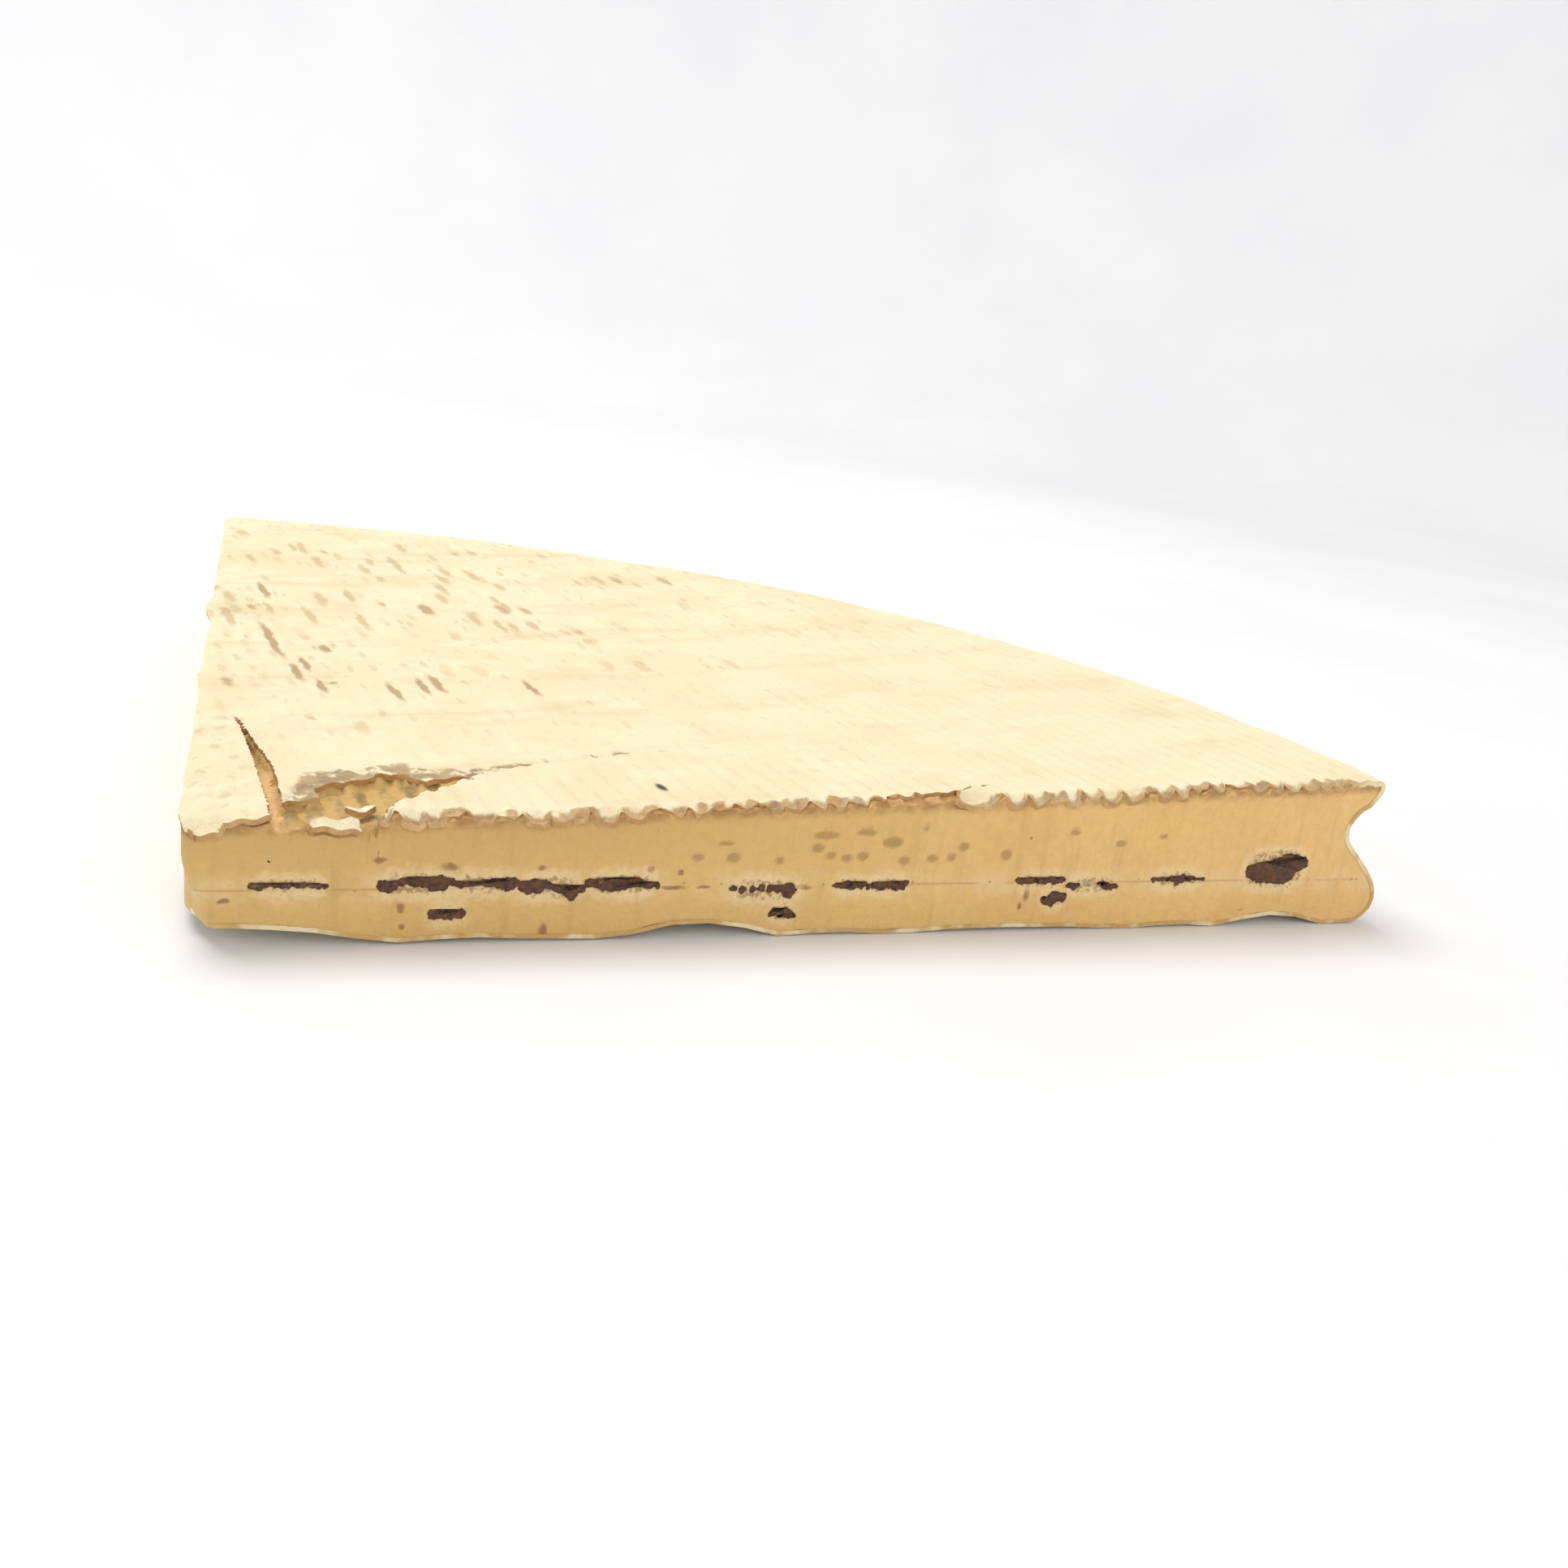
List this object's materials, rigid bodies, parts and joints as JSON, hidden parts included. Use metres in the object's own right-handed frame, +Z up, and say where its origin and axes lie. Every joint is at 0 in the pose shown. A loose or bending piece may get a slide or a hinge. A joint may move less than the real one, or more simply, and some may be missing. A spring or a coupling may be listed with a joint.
{
  "type": "quarter cheese wheel",
  "caption": "Wedge cut from a flat soft-ripened cheese wheel, with a bloomy white rind, a drawn-in side and black truffle pieces sliced through at its cut faces.",
  "frame": {"origin": "middle of the wedge's footprint, on the surface it rests on", "axes": "+Z up along the wheel's axis; the wheel's middle, the wedge's tip, is at the -X -Y corner; one cut face runs along X and looks to -Y, the other runs along Y and looks to -X, and the round side is towards +X +Y"},
  "size_m": [0.1886, 0.1886, 0.0262],
  "materials": {
    "rind": "velvety cream-white mould rind with tan mat marks",
    "paste": "moist knife-cut ivory to straw paste with small pits",
    "truffle": "matt brown-black, grainy"
  },
  "bodies": {
    "root": {"cheese_wedge": "rind", "truffle_front_1": "truffle", "truffle_front_2": "truffle", "truffle_front_3": "truffle", "truffle_front_4": "truffle", "truffle_front_5": "truffle", "truffle_front_6": "truffle", "truffle_front_7": "truffle", "truffle_front_8": "truffle", "truffle_front_9": "truffle", "truffle_front_10": "truffle", "truffle_front_11": "truffle", "truffle_front_12": "truffle", "truffle_front_13": "truffle", "truffle_front_14": "truffle", "truffle_front_15": "truffle", "truffle_side_1": "truffle", "truffle_side_2": "truffle", "truffle_side_3": "truffle", "truffle_side_4": "truffle", "truffle_side_5": "truffle", "truffle_side_6": "truffle", "truffle_side_7": "truffle", "truffle_side_8": "truffle", "truffle_side_9": "truffle", "truffle_side_10": "truffle", "truffle_side_11": "truffle", "truffle_side_12": "truffle"}
  },
  "joints": []
}
